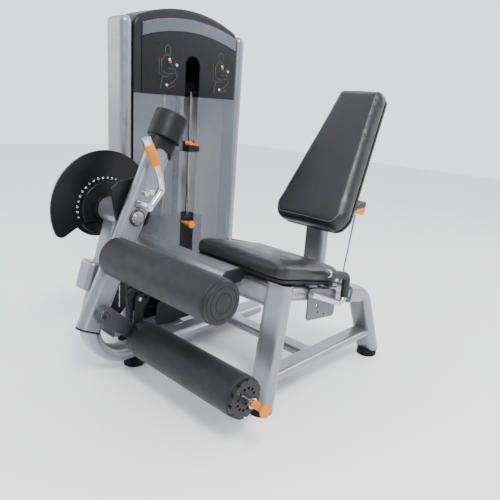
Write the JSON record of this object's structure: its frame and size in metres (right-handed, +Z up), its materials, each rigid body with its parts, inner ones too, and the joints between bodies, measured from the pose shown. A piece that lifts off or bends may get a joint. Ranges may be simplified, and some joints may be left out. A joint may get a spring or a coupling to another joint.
{
  "type": "seated leg curl machine",
  "caption": "Seated leg machine with a weight stack tower, a swinging arm with padded rollers, a cam and a sliding back rest.",
  "frame": {"origin": "middle of the machine's footprint on the floor", "axes": "+Z up; the user sits facing -Y; +X runs from the weight tower to the open side of the seat"},
  "size_m": [1.114, 1.2055, 1.4019],
  "materials": {
    "silver_paint": "silver-grey metallic satin paint",
    "grey_paint": "mid-grey satin paint",
    "black_paint": "black semi-gloss powder coat",
    "bright_steel": "bright plated steel",
    "cast_black": "black textured cast iron",
    "black_rubber": "matt black rubber",
    "belt_rubber": "flat black belt",
    "black_plastic": "black moulded plastic",
    "black_gloss": "glossy black panel",
    "smoked_panel": "smoked grey translucent sheet",
    "grey_shroud": "grey moulded plastic",
    "vinyl": "charcoal upholstery vinyl with seams",
    "foam": "soft dark foam skin",
    "orange_plastic": "orange moulded plastic"
  },
  "bodies": {
    "frame": {"rubber_feet": "black_rubber", "frame_steelwork": "bright_steel", "mast_tube": "silver_paint", "pivot_housing": "silver_paint", "mast_cover": "silver_paint", "front_leg": "silver_paint", "seat_rail": "silver_paint", "floor_beams": "silver_paint", "seat_cross_tubes": "silver_paint", "tube_end_plug": "black_plastic", "tower_base": "silver_paint", "belt_covers": "black_paint", "head_beam": "black_paint", "tower_columns": "silver_paint", "column_caps": "silver_paint", "tower_head": "black_plastic", "picture_panel": "black_gloss", "head_band": "silver_paint", "front_panels": "smoked_panel", "rear_shroud": "grey_shroud", "stack_plates": "cast_black", "fixed_belts": "belt_rubber", "seat_pad": "vinyl", "seat_board": "black_plastic", "seat_brackets": "grey_paint", "grip_tubes": "bright_steel", "grip_rubbers": "black_rubber"},
    "cam": {"cam_disc": "black_paint", "cam_hub": "black_paint"},
    "turning_pulley": {"turning_pulley": "black_plastic"},
    "top_pulley_front": {"top_pulley_front": "black_plastic"},
    "top_pulley_rear": {"top_pulley_rear": "black_plastic"},
    "arm": {"swing_arm": "silver_paint", "pivot_shaft": "bright_steel", "arm_pins": "bright_steel", "arm_end_plug": "black_plastic", "counterweight": "cast_black", "hub_plate": "black_paint", "notch_plate": "black_paint"},
    "start_pin": {"start_pin": "bright_steel"},
    "start_lever": {"start_lever": "bright_steel", "lever_grip": "orange_plastic"},
    "upper_roller": {"upper_roller_pad": "foam", "upper_roller_cap": "black_plastic"},
    "ankle_link": {"ankle_link": "grey_paint", "lower_axle": "bright_steel"},
    "lower_roller": {"lower_roller_pad": "foam", "lower_roller_hub": "black_plastic"},
    "release_knob": {"release_knob": "orange_plastic"},
    "backrest": {"back_pad": "vinyl", "back_shell": "black_plastic", "back_post": "silver_paint", "back_carriage": "silver_paint"},
    "release_paddle": {"release_paddle": "black_plastic"},
    "release_rod": {"release_rod": "bright_steel"},
    "stack": {"top_plate": "cast_black", "addon_weight": "cast_black", "belt_stack": "belt_rubber"},
    "addon_lever": {"addon_lever": "orange_plastic"},
    "selector_pin": {"selector_pin": "orange_plastic"}
  },
  "joints": [
    {"name": "arm_swing", "type": "hinge", "parent": "frame", "child": "arm", "pos_m": [-0.122, -0.37717, 0.641], "axis": [1, 0, 0], "range_deg": [-70, 10]},
    {"name": "cam_turn", "type": "hinge", "parent": "frame", "child": "cam", "pos_m": [-0.307, -0.37717, 0.641], "axis": [1, 0, 0], "range_deg": [0, 85]},
    {"name": "turning_pulley_turn", "type": "hinge", "parent": "frame", "child": "turning_pulley", "pos_m": [-0.328, -0.21617, 0.232], "axis": [1, 0, 0], "range_deg": [-170, 0]},
    {"name": "top_pulley_front_turn", "type": "hinge", "parent": "frame", "child": "top_pulley_front", "pos_m": [-0.464, -0.10117, 1.193], "axis": [1, 0, 0], "range_deg": [0, 170]},
    {"name": "top_pulley_rear_turn", "type": "hinge", "parent": "frame", "child": "top_pulley_rear", "pos_m": [-0.464, 0.02783, 1.193], "axis": [1, 0, 0], "range_deg": [0, 170]},
    {"name": "stack_lift", "type": "slide", "parent": "frame", "child": "stack", "axis": [0, 0, 1], "range_m": [0, 0.15], "deforming": ["belt_stack"]},
    {"name": "selector_pull", "type": "slide", "parent": "stack", "child": "selector_pin", "axis": [1, 0, 0], "range_m": [0, 0.1]},
    {"name": "addon_flip", "type": "hinge", "parent": "stack", "child": "addon_lever", "pos_m": [-0.383, 0.08183, 0.87], "axis": [0, 1, 0], "range_deg": [-60, 0]},
    {"name": "ankle_adjust", "type": "hinge", "parent": "arm", "child": "ankle_link", "pos_m": [-0.097, -0.51452, 0.31334], "axis": [1, 0, 0], "range_deg": [-15, 10]},
    {"name": "lower_roller_spin", "type": "hinge", "parent": "ankle_link", "child": "lower_roller", "pos_m": [0.183, -0.36717, 0.187], "axis": [1, 0, 0], "continuous": true},
    {"name": "upper_roller_spin", "type": "hinge", "parent": "arm", "child": "upper_roller", "pos_m": [0.183, -0.46317, 0.515], "axis": [1, 0, 0], "continuous": true},
    {"name": "knob_pull", "type": "slide", "parent": "ankle_link", "child": "release_knob", "axis": [1, 0, 0], "range_m": [0, 0.01], "stiffness_N_per_m": 900},
    {"name": "start_lever_pull", "type": "hinge", "parent": "arm", "child": "start_lever", "pos_m": [-0.037, -0.37181, 0.69036], "axis": [1, 0, 0], "range_deg": [-12, 0], "stiffness_Nm_per_rad": 8},
    {"name": "start_pin_slide", "type": "slide", "parent": "arm", "child": "start_pin", "axis": [1, 0, 0], "range_m": [0, 0.01]},
    {"name": "backrest_slide", "type": "slide", "parent": "frame", "child": "backrest", "axis": [0, 0.9763, -0.2164], "range_m": [-0.08, 0.01]},
    {"name": "paddle_squeeze", "type": "hinge", "parent": "backrest", "child": "release_paddle", "pos_m": [0.315, 0.34932, 0.6813], "axis": [1, 0, 0], "range_deg": [0, 15], "stiffness_Nm_per_rad": 6},
    {"name": "rod_pull", "type": "slide", "parent": "backrest", "child": "release_rod", "axis": [0, 0.1559, 0.9878], "range_m": [0, 0.0095]}
  ],
  "couplings": [
    {"joint": "cam_turn", "follows": "stack_lift", "rad_per_m": 9.3458},
    {"joint": "turning_pulley_turn", "follows": "stack_lift", "rad_per_m": -18.518},
    {"joint": "top_pulley_front_turn", "follows": "stack_lift", "rad_per_m": 18.518},
    {"joint": "top_pulley_rear_turn", "follows": "stack_lift", "rad_per_m": 18.518},
    {"joint": "start_pin_slide", "follows": "start_lever_pull", "m_per_rad": -0.0477},
    {"joint": "rod_pull", "follows": "paddle_squeeze", "m_per_rad": 0.034}
  ]
}
